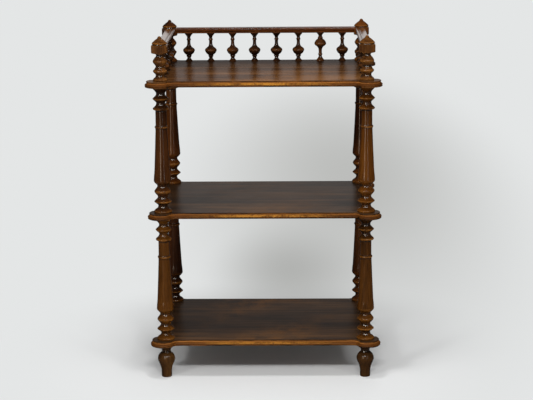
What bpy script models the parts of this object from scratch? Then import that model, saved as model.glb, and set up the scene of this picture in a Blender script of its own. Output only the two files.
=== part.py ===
"""Etagere side table: three shelves on turned columns, with a spindle gallery round the top shelf.

Metres, +Z up, front towards -Y. The origin is on the floor, midway between the four feet.
Every turned piece stands on a round tenon that passes through the shelf below it and ends in a
blind socket in the piece under that shelf, so the table goes together dry, from the feet up.
"""

import math

import bmesh
import bpy
from mathutils import Vector

# Overall layout, between the centre lines of the posts
POST_SPACING_X = 0.546
POST_SPACING_Y = 0.367
FOOT_HEIGHT = 0.0915
SHELF_PITCH = 0.357
SHELF_THICKNESS = 0.016
GALLERY_POST_HEIGHT = 0.118

# Clearances between pieces that meet
SEAT_GAP = 0.0003
FIT_GAP = 0.0003
CUT_OVERRUN = 0.004
MERGE_DISTANCE = 0.00002

# Shelf outline, measured from the centre line of a post
EDGE_OVERHANG = 0.018
EAR_RADIUS = 0.0365
EAR_SET_OUT = 0.005
EDGE_MOULDING_DEPTH = 0.005
# Share of the step between the straight edge and the front of the ear that the cove's radius takes
COVE_SHARE = 0.58
COVE_STEPS = 3
EAR_BACK_STEPS = 2
EAR_FRONT_STEPS = 3
# Shares of the moulding's depth, set in from the lip, and of the shelf's thickness, down from the top
EDGE_MOULDING_SHARES = (
    (1.00, 0.00),
    (0.62, 0.20),
    (0.10, 0.34),
    (0.00, 0.53),
    (0.40, 0.72),
    (0.10, 0.86),
    (0.42, 1.00),
)

# Turned legs: radii at the widest point of each, and the round joint that they share
FOOT_RADIUS = 0.0235
COLUMN_RADIUS = 0.024
TENON_RADIUS = 0.007
TENON_REACH = 0.0165
SOCKET_SPARE_DEPTH = 0.0015
LEG_SIDES = 12

# Shares of the widest radius and of the height, from the top down
FOOT_PROFILE_SHARES = (
    (0.80, 1.000),
    (0.77, 0.940),
    (0.57, 0.870),
    (0.50, 0.803),
    (0.60, 0.754),
    (0.86, 0.688),
    (0.985, 0.612),
    (1.00, 0.546),
    (0.92, 0.470),
    (0.78, 0.382),
    (0.665, 0.295),
    (0.605, 0.197),
    (0.585, 0.000),
)
COLUMN_PROFILE_SHARES = (
    (0.925, 1.000),
    (0.900, 0.982),
    (0.515, 0.946),
    (0.900, 0.906),
    (0.515, 0.870),
    (0.900, 0.829),
    (0.630, 0.816),
    (0.630, 0.690),
    (0.735, 0.681),
    (0.660, 0.671),
    (0.770, 0.484),
    (0.940, 0.287),
    (0.965, 0.261),
    (0.850, 0.240),
    (0.588, 0.214),
    (0.930, 0.170),
    (0.558, 0.126),
    (0.965, 0.089),
    (0.535, 0.050),
    (0.860, 0.026),
    (1.000, 0.015),
    (1.000, 0.000),
)

# Gallery posts: turned from a square length, which is left square at the block
BLOCK_WIDTH = 0.0416
GALLERY_SIDES = 12
# Shares of half the block's width and of the post's height, from the top down. A share over the
# square's corner leaves the block square there.
GALLERY_PROFILE_SHARES = (
    (0.18, 0.990),
    (0.33, 0.960),
    (0.30, 0.925),
    (0.65, 0.900),
    (0.88, 0.872),
    (0.98, 0.835),
    (0.94, 0.812),
    (1.58, 0.788),
    (1.58, 0.668),
    (0.88, 0.632),
    (0.48, 0.594),
    (0.48, 0.568),
    (0.63, 0.525),
    (0.90, 0.440),
    (0.72, 0.374),
    (0.54, 0.322),
    (0.66, 0.278),
    (0.90, 0.212),
    (0.59, 0.150),
    (0.57, 0.102),
    (0.76, 0.062),
    (0.90, 0.034),
    (0.90, 0.000),
)

# Gallery rails, let into the blocks a little inside the centre line of the posts
RAIL_WIDTH = 0.028
RAIL_HEIGHT = 0.0155
RAIL_SET_IN = 0.004
RAIL_TOP_BELOW_TIP = 0.0225
TONGUE_WIDTH = 0.012
TONGUE_HEIGHT = 0.009
TONGUE_REACH = 0.007
# Shares of half the rail's width and of its height, for one side of the section from the top down
RAIL_SECTION_SHARES = (
    (0.86, 1.00),
    (1.00, 0.84),
    (0.88, 0.58),
    (1.00, 0.34),
    (0.90, 0.00),
)

# Gallery spindles. The end spaces run from the face of a block to the middle of the first spindle
SPINDLE_RADIUS = 0.0168
SPINDLE_SIDES = 8
PIN_RADIUS = 0.003
PIN_REACH = 0.006
PIN_SPARE_DEPTH = 0.001
BACK_SPINDLES = 8
SIDE_SPINDLES = 5
BACK_END_SPACE = 0.03345
SIDE_END_SPACE = 0.0317
TURNED_OVER_SPINDLE = 7
SPINDLE_PROFILE_SHARES = (
    (0.67, 1.00),
    (0.29, 0.87),
    (0.28, 0.70),
    (0.35, 0.565),
    (0.76, 0.469),
    (1.00, 0.398),
    (0.83, 0.305),
    (0.42, 0.225),
    (0.30, 0.120),
    (0.66, 0.00),
)

# Where the four posts stand: name, side along X, side along Y
CORNERS = (
    ("front_left", -1, -1),
    ("front_right", 1, -1),
    ("back_left", -1, 1),
    ("back_right", 1, 1),
)
SHELF_NAMES = ("shelf_bottom", "shelf_middle", "shelf_top")
SHARP_ANGLE = math.radians(38)
QUARTER_TURN = math.pi / 2

# Varnished walnut: linear colours and roughness
SHELF_COLOUR = (0.105, 0.055, 0.030)
FOOT_COLOUR = (0.130, 0.058, 0.022)
COLUMN_COLOUR = (0.150, 0.065, 0.024)
GALLERY_POST_COLOUR = (0.140, 0.062, 0.023)
RAIL_COLOUR = (0.075, 0.034, 0.017)
SPINDLE_COLOUR = (0.060, 0.028, 0.014)
SHELF_ROUGHNESS = 0.34
TURNED_ROUGHNESS = 0.30

# Heights worked out from the layout
FIRST_SHELF_TOP = FOOT_HEIGHT + SHELF_THICKNESS
SHELF_TOPS = [FIRST_SHELF_TOP + SHELF_PITCH * level for level in range(len(SHELF_NAMES))]
TOP_DECK = SHELF_TOPS[-1]
RAIL_TOP = TOP_DECK + GALLERY_POST_HEIGHT - RAIL_TOP_BELOW_TIP
RAIL_BOTTOM = RAIL_TOP - RAIL_HEIGHT
SOCKET_RADIUS = TENON_RADIUS + FIT_GAP
SOCKET_DEPTH = TENON_REACH + SOCKET_SPARE_DEPTH
PIN_HOLE_RADIUS = PIN_RADIUS + FIT_GAP
PIN_HOLE_DEPTH = PIN_REACH + PIN_SPARE_DEPTH
SIDE_X = POST_SPACING_X / 2 - RAIL_SET_IN
BACK_Y = POST_SPACING_Y / 2 - RAIL_SET_IN


def clear_scene():
    for obj in list(bpy.data.objects):
        bpy.data.objects.remove(obj, do_unlink=True)


def new_collection(name):
    collection = bpy.data.collections.new(name)
    bpy.context.scene.collection.children.link(collection)
    return collection


def wood(name, colour, roughness):
    material = bpy.data.materials.new(name)
    material.use_nodes = True
    shader = material.node_tree.nodes["Principled BSDF"]
    shader.inputs["Base Color"].default_value = (*colour, 1.0)
    shader.inputs["Roughness"].default_value = roughness
    shader.inputs["Metallic"].default_value = 0.0
    return material


def place_mesh(name, mesh, collection, location=(0, 0, 0)):
    obj = bpy.data.objects.new(name, mesh)
    obj.location = location
    collection.objects.link(obj)
    return obj


def make_cutter(obj):
    obj.hide_render = True
    obj.display_type = "WIRE"
    return obj


def cut(obj, cutter, operation="DIFFERENCE"):
    modifier = obj.modifiers.new(cutter.name, "BOOLEAN")
    modifier.operation = operation
    modifier.solver = "EXACT"
    modifier.object = cutter


def shade_round(mesh):
    mesh.shade_smooth()
    mesh.set_sharp_from_angle(angle=SHARP_ANGLE)


def turned_mesh(name, profile, sides):
    """A solid of revolution. The profile runs from the axis at the top, down the outside, to the axis."""
    outline = bpy.data.meshes.new(name + "_profile")
    points = [Vector((radius, 0, height)) for radius, height in profile]
    edges = [(index, index + 1) for index in range(len(points) - 1)]
    outline.from_pydata(points, edges, [])
    lathe = place_mesh(name + "_lathe", outline, bpy.context.scene.collection)
    screw = lathe.modifiers.new("Turn", "SCREW")
    screw.axis = "Z"
    screw.steps = sides
    screw.render_steps = sides
    screw.use_merge_vertices = True
    screw.merge_threshold = MERGE_DISTANCE
    graph = bpy.context.evaluated_depsgraph_get()
    mesh = bpy.data.meshes.new_from_object(lathe.evaluated_get(graph))
    mesh.name = name
    bpy.data.objects.remove(lathe, do_unlink=True)
    bpy.data.meshes.remove(outline)
    shade_round(mesh)
    return mesh


def scaled_profile(shares, radius, height):
    return [(radius * out, height * up) for out, up in shares]


def socket_profile(height):
    """From the bottom of a blind socket up to its mouth in the top face."""
    floor = height - SOCKET_DEPTH
    return [(0, floor), (SOCKET_RADIUS, floor), (SOCKET_RADIUS, height)]


def tenon_profile():
    """The tenon under the foot of a post, through the shelf and into the socket below."""
    end = -(SHELF_THICKNESS + 2 * SEAT_GAP + TENON_REACH)
    return [(TENON_RADIUS, 0), (TENON_RADIUS, end), (0, end)]


def plug_mesh(name, radius, top, bottom, sides):
    return turned_mesh(name, [(0, top), (radius, top), (radius, bottom), (0, bottom)], sides)


def arc_points(centre, radius, start, end, steps):
    """Points along an arc, without its last one."""
    angles = [start + (end - start) * step / steps for step in range(steps)]
    return [centre + radius * Vector((math.cos(angle), math.sin(angle))) for angle in angles]


def ear_and_coves(set_in):
    """One corner of a shelf from its front edge to its side edge, as (out in X, out in Y) from the post.

    The ear is an arc. Each cove is a round hollow that leaves the straight edge and meets the ear at
    an arris. Every arc is moved in by set_in, which keeps the rings of the moulding parallel.
    """
    cove_radius = COVE_SHARE * (EAR_SET_OUT + EAR_RADIUS - EDGE_OVERHANG)
    cove_level = EDGE_OVERHANG + cove_radius
    rise = cove_level - EAR_SET_OUT
    cove_along = EAR_SET_OUT - math.sqrt(EAR_RADIUS**2 - rise**2) - cove_radius

    # Where the moved arcs of the ear and of the cove cross
    ear_centre = Vector((EAR_SET_OUT, EAR_SET_OUT))
    cove_centre = Vector((cove_along, cove_level))
    ear = EAR_RADIUS - set_in
    cove = cove_radius + set_in
    apart = (cove_centre - ear_centre).length
    towards = (cove_centre - ear_centre) / apart
    along = (apart**2 + ear**2 - cove**2) / (2 * apart)
    aside = math.sqrt(ear**2 - along**2)
    arris = ear_centre + along * towards + aside * Vector((towards.y, -towards.x))

    # Half of the corner, up to the middle of the ear, and then the same half turned over
    cove_end = math.atan2(arris.y - cove_centre.y, arris.x - cove_centre.x)
    ear_start = math.atan2(arris.y - ear_centre.y, arris.x - ear_centre.x)
    half = arc_points(cove_centre, cove, -QUARTER_TURN, cove_end, COVE_STEPS)
    half += arc_points(ear_centre, ear, ear_start, QUARTER_TURN, EAR_BACK_STEPS)
    half += arc_points(ear_centre, ear, QUARTER_TURN, QUARTER_TURN / 2, EAR_FRONT_STEPS)
    middle = arc_points(ear_centre, ear, QUARTER_TURN / 2, 0, 1)
    return half + middle + [Vector((point.y, point.x)) for point in reversed(half)]


def shelf_ring(set_in):
    """The whole outline of a shelf, anticlockwise from above."""
    corner = ear_and_coves(set_in)
    ring = []
    for side_x, side_y in ((-1, -1), (1, -1), (1, 1), (-1, 1)):
        points = [
            (side_x * (POST_SPACING_X / 2 + out_x), side_y * (POST_SPACING_Y / 2 + out_y))
            for out_x, out_y in corner
        ]
        # The corner runs from the front edge to the side edge, so two corners are walked backwards
        ring.extend(reversed(points) if side_x * side_y > 0 else points)
    return ring


def shelf_mesh(name):
    """A board with its top at zero, as a loft of moved-in outlines closed by a top and a bottom face."""
    build = bmesh.new()
    rings = []
    for inward, down in EDGE_MOULDING_SHARES:
        level = -SHELF_THICKNESS * down
        points = shelf_ring(EDGE_MOULDING_DEPTH * inward)
        verts = [build.verts.new((x, y, level)) for x, y in points]
        edges = [build.edges.new((verts[i - 1], verts[i])) for i in range(len(verts))]
        rings.append((verts, edges))
    for (_, upper), (_, lower) in zip(rings, rings[1:]):
        bmesh.ops.bridge_loops(build, edges=upper + lower)
    build.faces.new(rings[0][0])
    build.faces.new(rings[-1][0])
    bmesh.ops.recalc_face_normals(build, faces=build.faces)
    mesh = bpy.data.meshes.new(name)
    build.to_mesh(mesh)
    build.free()
    shade_round(mesh)
    return mesh


def post_places():
    for corner, side_x, side_y in CORNERS:
        yield corner, side_x, side_y, side_x * POST_SPACING_X / 2, side_y * POST_SPACING_Y / 2


def make_shelves(parts, cutters, material):
    mesh = shelf_mesh("shelf_board")
    mesh.materials.append(material)
    hole_end = -SHELF_THICKNESS - CUT_OVERRUN
    hole = plug_mesh("tenon_hole", SOCKET_RADIUS, CUT_OVERRUN, hole_end, LEG_SIDES)
    shelves = []
    for name, top in zip(SHELF_NAMES, SHELF_TOPS):
        shelf = place_mesh(name, mesh, parts, (0, 0, top))
        for corner, _, _, x, y in post_places():
            cutter = place_mesh(f"{name}_hole_{corner}", hole, cutters, (x, y, top))
            cut(shelf, make_cutter(cutter))
        shelves.append(shelf)
    return shelves


def make_feet(parts, material):
    height = FOOT_HEIGHT - SEAT_GAP
    outside = scaled_profile(FOOT_PROFILE_SHARES, FOOT_RADIUS, height)
    mesh = turned_mesh("foot", socket_profile(height) + outside + [(0, 0)], LEG_SIDES)
    mesh.materials.append(material)
    for corner, _, _, x, y in post_places():
        place_mesh("foot_" + corner, mesh, parts, (x, y, 0))


def make_columns(parts, material):
    height = SHELF_PITCH - SHELF_THICKNESS - 2 * SEAT_GAP
    outside = scaled_profile(COLUMN_PROFILE_SHARES, COLUMN_RADIUS, height)
    mesh = turned_mesh("column", socket_profile(height) + outside + tenon_profile(), LEG_SIDES)
    mesh.materials.append(material)
    for tier, top in zip(("lower", "upper"), SHELF_TOPS):
        for corner, _, _, x, y in post_places():
            place_mesh(f"{tier}_column_{corner}", mesh, parts, (x, y, top + SEAT_GAP))


def box_mesh(name, size, centre=(0, 0, 0)):
    build = bmesh.new()
    bmesh.ops.create_cube(build, size=1)
    bmesh.ops.scale(build, vec=size, verts=build.verts)
    bmesh.ops.translate(build, vec=centre, verts=build.verts)
    mesh = bpy.data.meshes.new(name)
    build.to_mesh(mesh)
    build.free()
    return mesh


def make_gallery_posts(parts, cutters, material):
    """Each post is its turned outline kept inside the square length of timber that it is turned from."""
    height = GALLERY_POST_HEIGHT - SEAT_GAP
    outside = scaled_profile(GALLERY_PROFILE_SHARES, BLOCK_WIDTH / 2, height)
    mesh = turned_mesh("gallery_post", [(0, height)] + outside + tenon_profile(), GALLERY_SIDES)
    mesh.materials.append(material)
    length = height + SHELF_THICKNESS + 2 * SEAT_GAP + TENON_REACH + 2 * CUT_OVERRUN
    middle = height + CUT_OVERRUN - length / 2
    stock = box_mesh("square_stock", (BLOCK_WIDTH, BLOCK_WIDTH, length), (0, 0, middle))
    posts = {}
    for corner, _, _, x, y in post_places():
        place = (x, y, TOP_DECK + SEAT_GAP)
        post = place_mesh("gallery_post_" + corner, mesh, parts, place)
        square = place_mesh("square_" + corner, stock, cutters, place)
        cut(post, make_cutter(square), "INTERSECT")
        posts[corner] = post
    return posts


def rail_mesh(name, length):
    """A moulded bar along X, centred in plan, with its underside at zero."""
    half_width = RAIL_WIDTH / 2
    right = [(half_width * out, RAIL_HEIGHT * up) for out, up in RAIL_SECTION_SHARES]
    left = [(-out, up) for out, up in reversed(right)]
    curve = bpy.data.curves.new(name + "_section", "CURVE")
    curve.dimensions = "2D"
    curve.fill_mode = "BOTH"
    curve.extrude = length / 2
    spline = curve.splines.new("POLY")
    spline.points.add(len(right + left) - 1)
    for point, (across, up) in zip(spline.points, right + left):
        point.co = (across, up, 0, 1)
    spline.use_cyclic_u = True
    section = place_mesh(name + "_section", curve, bpy.context.scene.collection)
    graph = bpy.context.evaluated_depsgraph_get()
    mesh = bpy.data.meshes.new_from_object(section.evaluated_get(graph))
    mesh.name = name
    bpy.data.objects.remove(section, do_unlink=True)
    bpy.data.curves.remove(curve)

    # The section is drawn in X and Y and runs along Z: here it is stood up to run along X
    build = bmesh.new()
    build.from_mesh(mesh)
    bmesh.ops.remove_doubles(build, verts=build.verts, dist=MERGE_DISTANCE)
    for vert in build.verts:
        across, up, run = vert.co
        vert.co = (run, across, up)
    bmesh.ops.recalc_face_normals(build, faces=build.faces)
    build.to_mesh(mesh)
    build.free()
    return mesh


def spindle_line(count, spacing, end_space):
    """Places along a rail, evenly spread between the two end spaces."""
    reach = (spacing - BLOCK_WIDTH) / 2 - end_space
    pitch = 2 * reach / (count - 1)
    return [pitch * index - reach for index in range(count)]


def back_line():
    return spindle_line(BACK_SPINDLES, POST_SPACING_X, BACK_END_SPACE)


def side_line():
    return spindle_line(SIDE_SPINDLES, POST_SPACING_Y, SIDE_END_SPACE)


def make_rail(name, centre, turn, spacing, parts, cutters, material):
    """A rail between two posts and the cutter for the mortises that its tongues go into."""
    length = spacing - BLOCK_WIDTH - 2 * SEAT_GAP
    mesh = rail_mesh(name, length)
    mesh.materials.append(material)
    rail = place_mesh(name, mesh, parts, (*centre, RAIL_BOTTOM))
    tongue_size = Vector((length + 2 * TONGUE_REACH, TONGUE_WIDTH, TONGUE_HEIGHT))
    fit = Vector((FIT_GAP, FIT_GAP, FIT_GAP))
    middle = (*centre, RAIL_BOTTOM + RAIL_HEIGHT / 2)
    tongue = place_mesh(name + "_tongue", box_mesh("tongue", tongue_size), cutters, middle)
    mortise = place_mesh(name + "_mortise", box_mesh("mortise", tongue_size + 2 * fit), cutters, middle)
    for obj in (rail, make_cutter(tongue), make_cutter(mortise)):
        obj.rotation_euler.z = turn
    cut(rail, tongue, "UNION")
    return rail, mortise


def make_rails(parts, cutters, posts, material):
    pin_hole = plug_mesh("rail_pin_hole", PIN_HOLE_RADIUS, PIN_HOLE_DEPTH, -CUT_OVERRUN, SPINDLE_SIDES)
    # Name, middle in plan, turn about Z, spacing of its posts, its posts, its spindles along it
    layout = (
        ("back", (0, BACK_Y), 0, POST_SPACING_X, ("back_left", "back_right"), back_line()),
        ("left", (-SIDE_X, 0), QUARTER_TURN, POST_SPACING_Y, ("front_left", "back_left"), side_line()),
        ("right", (SIDE_X, 0), QUARTER_TURN, POST_SPACING_Y, ("front_right", "back_right"), side_line()),
    )
    for name, (x, y), turn, spacing, ends, line in layout:
        rail, mortise = make_rail(name + "_rail", (x, y), turn, spacing, parts, cutters, material)
        for end in ends:
            cut(posts[end], mortise)
        for number, along in enumerate(line, 1):
            place = (x + along * math.cos(turn), y + along * math.sin(turn), RAIL_BOTTOM)
            hole = place_mesh(f"{name}_rail_hole_{number}", pin_hole, cutters, place)
            cut(rail, make_cutter(hole))


def spindle_places():
    """Name, place in plan, and whether the spindle stands turned over."""
    for number, x in enumerate(back_line(), 1):
        yield f"back_spindle_{number}", x, BACK_Y, number == TURNED_OVER_SPINDLE
    for side, x in (("left", -SIDE_X), ("right", SIDE_X)):
        for number, y in enumerate(side_line(), 1):
            yield f"{side}_spindle_{number}", x, y, False


def make_spindles(parts, cutters, top_shelf, material):
    height = RAIL_BOTTOM - TOP_DECK - 2 * SEAT_GAP
    outside = scaled_profile(SPINDLE_PROFILE_SHARES, SPINDLE_RADIUS, height)
    pin_top = [(0, height + PIN_REACH), (PIN_RADIUS, height + PIN_REACH), (PIN_RADIUS, height)]
    pin_foot = [(PIN_RADIUS, 0), (PIN_RADIUS, -PIN_REACH), (0, -PIN_REACH)]
    mesh = turned_mesh("spindle", pin_top + outside + pin_foot, SPINDLE_SIDES)
    mesh.materials.append(material)
    pin_hole = plug_mesh("shelf_pin_hole", PIN_HOLE_RADIUS, CUT_OVERRUN, -PIN_HOLE_DEPTH, SPINDLE_SIDES)
    for name, x, y, turned_over in spindle_places():
        spindle = place_mesh(name, mesh, parts, (x, y, TOP_DECK + SEAT_GAP))
        if turned_over:
            spindle.rotation_euler.x = math.pi
            spindle.location.z += height
        hole = place_mesh(name + "_hole", pin_hole, cutters, (x, y, TOP_DECK))
        cut(top_shelf, make_cutter(hole))


def main():
    clear_scene()
    parts = new_collection("etagere_side_table")
    cutters = new_collection("cutters")
    shelves = make_shelves(parts, cutters, wood("shelf_walnut", SHELF_COLOUR, SHELF_ROUGHNESS))
    make_feet(parts, wood("foot_walnut", FOOT_COLOUR, TURNED_ROUGHNESS))
    make_columns(parts, wood("column_walnut", COLUMN_COLOUR, TURNED_ROUGHNESS))
    post_walnut = wood("gallery_post_walnut", GALLERY_POST_COLOUR, TURNED_ROUGHNESS)
    posts = make_gallery_posts(parts, cutters, post_walnut)
    make_rails(parts, cutters, posts, wood("rail_walnut", RAIL_COLOUR, SHELF_ROUGHNESS))
    make_spindles(parts, cutters, shelves[-1], wood("spindle_walnut", SPINDLE_COLOUR, TURNED_ROUGHNESS))
    cutters.hide_render = True


main()
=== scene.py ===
"""Walnut side table with three moulded shelves and a spindle gallery, its finishes and its studio.

Lengths are in metres, but profiles and sections are drawn in millimetres.
"""

import math

import bmesh
import bpy
import numpy as np
from mathutils import Color, Matrix, Vector
from mathutils.geometry import interpolate_bezier


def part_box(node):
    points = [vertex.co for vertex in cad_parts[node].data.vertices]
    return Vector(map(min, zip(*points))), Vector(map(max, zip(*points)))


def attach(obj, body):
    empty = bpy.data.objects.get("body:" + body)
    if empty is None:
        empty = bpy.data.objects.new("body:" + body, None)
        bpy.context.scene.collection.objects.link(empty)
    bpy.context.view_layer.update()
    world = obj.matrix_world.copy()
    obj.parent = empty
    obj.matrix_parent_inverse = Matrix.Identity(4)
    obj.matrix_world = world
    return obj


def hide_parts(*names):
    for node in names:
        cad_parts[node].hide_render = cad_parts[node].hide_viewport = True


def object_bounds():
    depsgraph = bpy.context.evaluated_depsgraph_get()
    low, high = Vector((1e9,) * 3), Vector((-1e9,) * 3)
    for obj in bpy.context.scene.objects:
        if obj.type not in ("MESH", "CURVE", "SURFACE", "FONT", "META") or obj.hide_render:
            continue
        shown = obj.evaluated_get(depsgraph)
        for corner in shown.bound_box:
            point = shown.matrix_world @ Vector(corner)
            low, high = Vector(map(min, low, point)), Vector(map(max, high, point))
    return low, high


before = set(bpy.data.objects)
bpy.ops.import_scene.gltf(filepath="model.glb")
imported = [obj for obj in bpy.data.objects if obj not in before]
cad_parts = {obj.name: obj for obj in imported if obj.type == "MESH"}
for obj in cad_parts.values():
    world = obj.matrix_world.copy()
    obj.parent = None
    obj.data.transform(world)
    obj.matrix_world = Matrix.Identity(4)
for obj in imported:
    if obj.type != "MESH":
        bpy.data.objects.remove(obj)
cad_low, cad_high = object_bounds()

# Units and closeness
MILLIMETRE = 0.001
PAINT_CHART_FULL = 255
SAME_POINT = 1e-6
SEED_FACE = 0.001

# Places round a turned piece, and steps along a profile (millimetres)
COLUMN_TURNS = 64
SPINDLE_TURNS = 40
COLUMN_STEP = 1.3
SPINDLE_STEP = 1.1
EDGE_STEP = 0.8

# How a smooth run bends, and how far an arris is cut back (millimetres, and share of its arm)
END_LEAN = 1.5
CURVE_HANDLE = 1 / 3
ARRIS_SOFTNESS = 0.25
LONGEST_CUT = 0.5

# What counts as proud: how far along the outline a place is compared with the rest (millimetres)
NEARBY_SAMPLES = 25
TANGENT_REACH = 0.4
TURNED_REACH = 6.0
MOULDING_REACH = 3.0
FULLY_PROUD = 0.25

# Which faces count as square and as level, and up to what angle an edge is shaded smooth
NEARLY_SQUARE = 0.99
FLAT_NORMAL = 0.999
SMOOTH_ANGLE = math.radians(38)

# Shelf outline, as the shelves are cut: the ears at the corners and the coves beside them
EDGE_OVERHANG = 0.018
EAR_RADIUS = 0.0365
EAR_SET_OUT = 0.005
COVE_SHARE = 0.58
COVE_STEPS = 8
EAR_BACK_STEPS = 12
EAR_FRONT_STEPS = 9
FLAT_MARGIN = 0.004

# Shelf edge from the top down: set in from the lip, depth below the top (millimetres)
SHELF_EDGE = [
    [(6.0, 0.0), (5.0, 0.15), (4.4, 0.8), (4.3, 2.4)],
    [(4.3, 2.4), (5.0, 2.9), (5.3, 3.9), (4.9, 4.9)],
    [(4.9, 4.9), (4.0, 5.8), (2.0, 7.7), (0.6, 9.3), (0.0, 10.6), (0.5, 11.4)],
    [(0.5, 11.4), (2.2, 11.7), (2.9, 12.3), (2.4, 12.9)],
    [(2.4, 12.9), (1.0, 13.3), (0.4, 14.2), (0.8, 15.2), (2.2, 16.0)],
]

# Where the arris, the fillet and the round of a shelf edge end, and the order of a shelf's finishes
ARRIS_DEPTH = 0.0009
FILLET_DEPTH = 0.0056
BEAD_DEPTH = 0.0115
ON_TOP, ON_ROUND, ON_FILLET_AND_BEAD, ON_UNDERSIDE = range(4)

# The round of a shelf edge turns golden, partly wear and partly painted highlight; the ears' share
# of that; and wear on the margin of the upper face
ROUND_WEAR_AND_HIGHLIGHT = 0.8
EAR_WEAR_AND_HIGHLIGHT = 0.2
MARGIN_WIDTH = 0.016
MARGIN_WEAR = 0.6

# Foot, up from the floor: height, radius (millimetres)
FOOT = [
    [(0.0, 13.2), (0.6, 13.7)],
    [(0.6, 13.7), (4.0, 14.0), (18.0, 14.3), (27.0, 15.7), (35.0, 18.4), (43.0, 21.7), (50.0, 23.5),
     (56.0, 23.1), (63.0, 20.0), (69.0, 14.0)],
    [(69.0, 14.0), (73.5, 11.8), (80.0, 13.8), (86.0, 18.5)],
    [(86.0, 18.5), (88.6, 19.4), (91.2, 19.0)],
]

# Column, up from a shelf top: height, radius (millimetres)
COLUMN = [
    [(0.0, 23.6), (1.2, 24.0), (4.2, 24.0), (5.2, 23.4)],
    [(5.2, 23.4), (8.0, 20.6), (12.0, 15.2), (17.0, 12.8), (20.5, 13.2), (23.0, 15.0)],
    [(23.0, 15.0), (26.5, 19.5), (29.4, 23.0)],
    [(30.6, 23.0), (34.0, 19.5), (39.0, 14.6)],
    [(39.0, 14.6), (43.0, 13.4), (46.0, 14.2), (48.0, 15.8)],
    [(48.0, 15.8), (52.5, 19.6), (57.0, 22.2), (59.5, 22.0), (64.0, 18.8), (69.0, 15.2)],
    [(69.0, 15.2), (73.0, 14.1), (76.0, 15.2), (78.0, 17.2)],
    [(78.0, 17.2), (81.0, 20.0), (84.0, 22.4), (87.5, 23.3)],
    [(89.0, 23.2), (98.0, 22.6), (111.0, 21.2), (123.0, 20.5), (147.0, 19.3), (174.0, 17.9),
     (204.0, 16.6), (225.0, 15.7), (229.0, 15.7)],
    [(229.0, 15.8), (231.0, 17.2), (232.5, 17.6), (234.0, 17.2), (236.0, 15.3)],
    [(236.0, 15.1), (256.0, 14.9), (276.0, 14.8)],
    [(276.0, 14.8), (278.5, 16.0), (280.0, 20.5), (283.0, 21.6)],
    [(283.0, 21.6), (285.0, 20.0), (288.0, 16.5), (294.0, 12.6), (299.0, 12.4), (303.0, 16.0)],
    [(303.0, 16.0), (305.6, 18.6), (308.3, 21.4)],
    [(309.7, 21.4), (312.3, 18.6), (315.0, 16.0), (319.5, 12.4), (325.0, 12.3), (330.0, 15.5)],
    [(330.0, 15.5), (333.2, 18.4), (336.5, 21.4)],
    [(336.5, 21.8), (338.6, 22.5), (341.0, 22.2)],
]

# Gallery post, up from the top shelf: height, radius (millimetres).
# Square stock cuts its widest part to a block
GALLERY_POST = [
    [(0.0, 18.6), (1.0, 19.0), (4.0, 19.0)],
    [(4.0, 19.0), (5.4, 17.9), (7.5, 15.5), (12.0, 11.9), (17.0, 12.2), (20.0, 15.0)],
    [(20.0, 15.0), (22.4, 17.2), (25.0, 18.7)],
    [(25.0, 18.7), (28.0, 17.8), (31.0, 14.5), (33.0, 14.0)],
    [(33.0, 14.0), (35.2, 12.1), (38.0, 11.3), (41.0, 12.4), (44.0, 14.8)],
    [(44.0, 14.8), (47.6, 17.5), (51.0, 18.8), (57.0, 16.3), (62.0, 12.8)],
    [(62.0, 12.8), (64.4, 10.4), (67.0, 9.7), (70.0, 10.5)],
    [(70.0, 10.5), (71.4, 13.4), (72.5, 16.0)],
    [(72.5, 16.0), (73.6, 21.8), (76.0, 26.0), (79.0, 29.8)],
    [(79.0, 29.8), (93.4, 29.8)],
    [(93.4, 29.8), (95.0, 27.6)],
    [(95.2, 18.9), (96.4, 18.4), (97.2, 18.9)],
    [(97.2, 19.7), (98.6, 20.3), (100.2, 19.7), (103.1, 17.0), (107.0, 12.6), (109.6, 9.4),
     (111.4, 6.6)],
    [(111.4, 6.6), (112.8, 5.5), (114.6, 4.7), (116.4, 3.5), (117.5, 2.0), (118.0, 0.6)],
]
STOCK_BEVEL = 0.0006
STOCK_BEVEL_STEPS = 2
STOCK_OVERRUN = 0.01
BLOCK_BORDER = 0.0012
EDGE_CREST = 0.8

# Gallery spindle, up from the top shelf: height, radius (millimetres)
SPINDLE = [
    [(0.0, 11.0), (3.1, 8.9), (6.0, 6.4), (8.8, 5.1), (11.7, 5.5)],
    [(11.7, 5.5), (13.4, 6.9), (15.2, 7.3), (16.9, 6.8)],
    [(16.9, 6.8), (18.6, 8.2), (20.3, 10.5), (23.2, 13.4), (26.0, 14.9)],
    [(26.0, 14.9), (28.9, 16.4), (31.8, 16.8), (34.6, 15.7), (37.5, 12.8), (40.4, 8.9), (43.2, 6.7),
     (46.1, 5.5), (53.3, 4.6), (59.6, 4.8)],
    [(59.6, 4.8), (60.8, 5.9), (62.4, 6.1), (63.8, 5.6), (64.8, 4.8)],
    [(64.8, 4.8), (69.1, 4.9), (71.9, 6.4), (74.8, 8.4), (77.7, 10.8), (80.0, 11.5)],
]

# Gallery rail, half its section from the groove round to the middle of the underside:
# across from the inner face, up from the underside (millimetres)
RAIL_TOP = [
    [(12.0, 15.5), (9.5, 15.5)],
    [(9.5, 15.5), (9.0, 14.3), (8.4, 13.8), (7.8, 14.3), (7.3, 15.5)],
    [(7.3, 15.5), (3.2, 15.5), (2.2, 15.4), (1.5, 14.8), (1.3, 13.9)],
]
RAIL_FACE = [
    [(1.3, 13.9), (0.5, 13.2), (0.0, 11.2), (0.25, 9.4), (1.0, 7.8)],
    [(1.0, 7.8), (1.8, 6.2), (3.6, 5.0)],
    [(3.6, 5.0), (4.8, 4.4), (5.2, 3.0), (5.2, 1.2), (5.4, 0.0)],
]

# Corners of the table, as the CAD nodes name them
CORNERS = ["front_left", "front_right", "back_left", "back_right"]
SHELVES = ["bottom", "middle", "top"]
SPINDLE_COUNTS = {"back": 8, "left": 5, "right": 5}
UPSIDE_DOWN_SPINDLE = ("back", 7)


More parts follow.
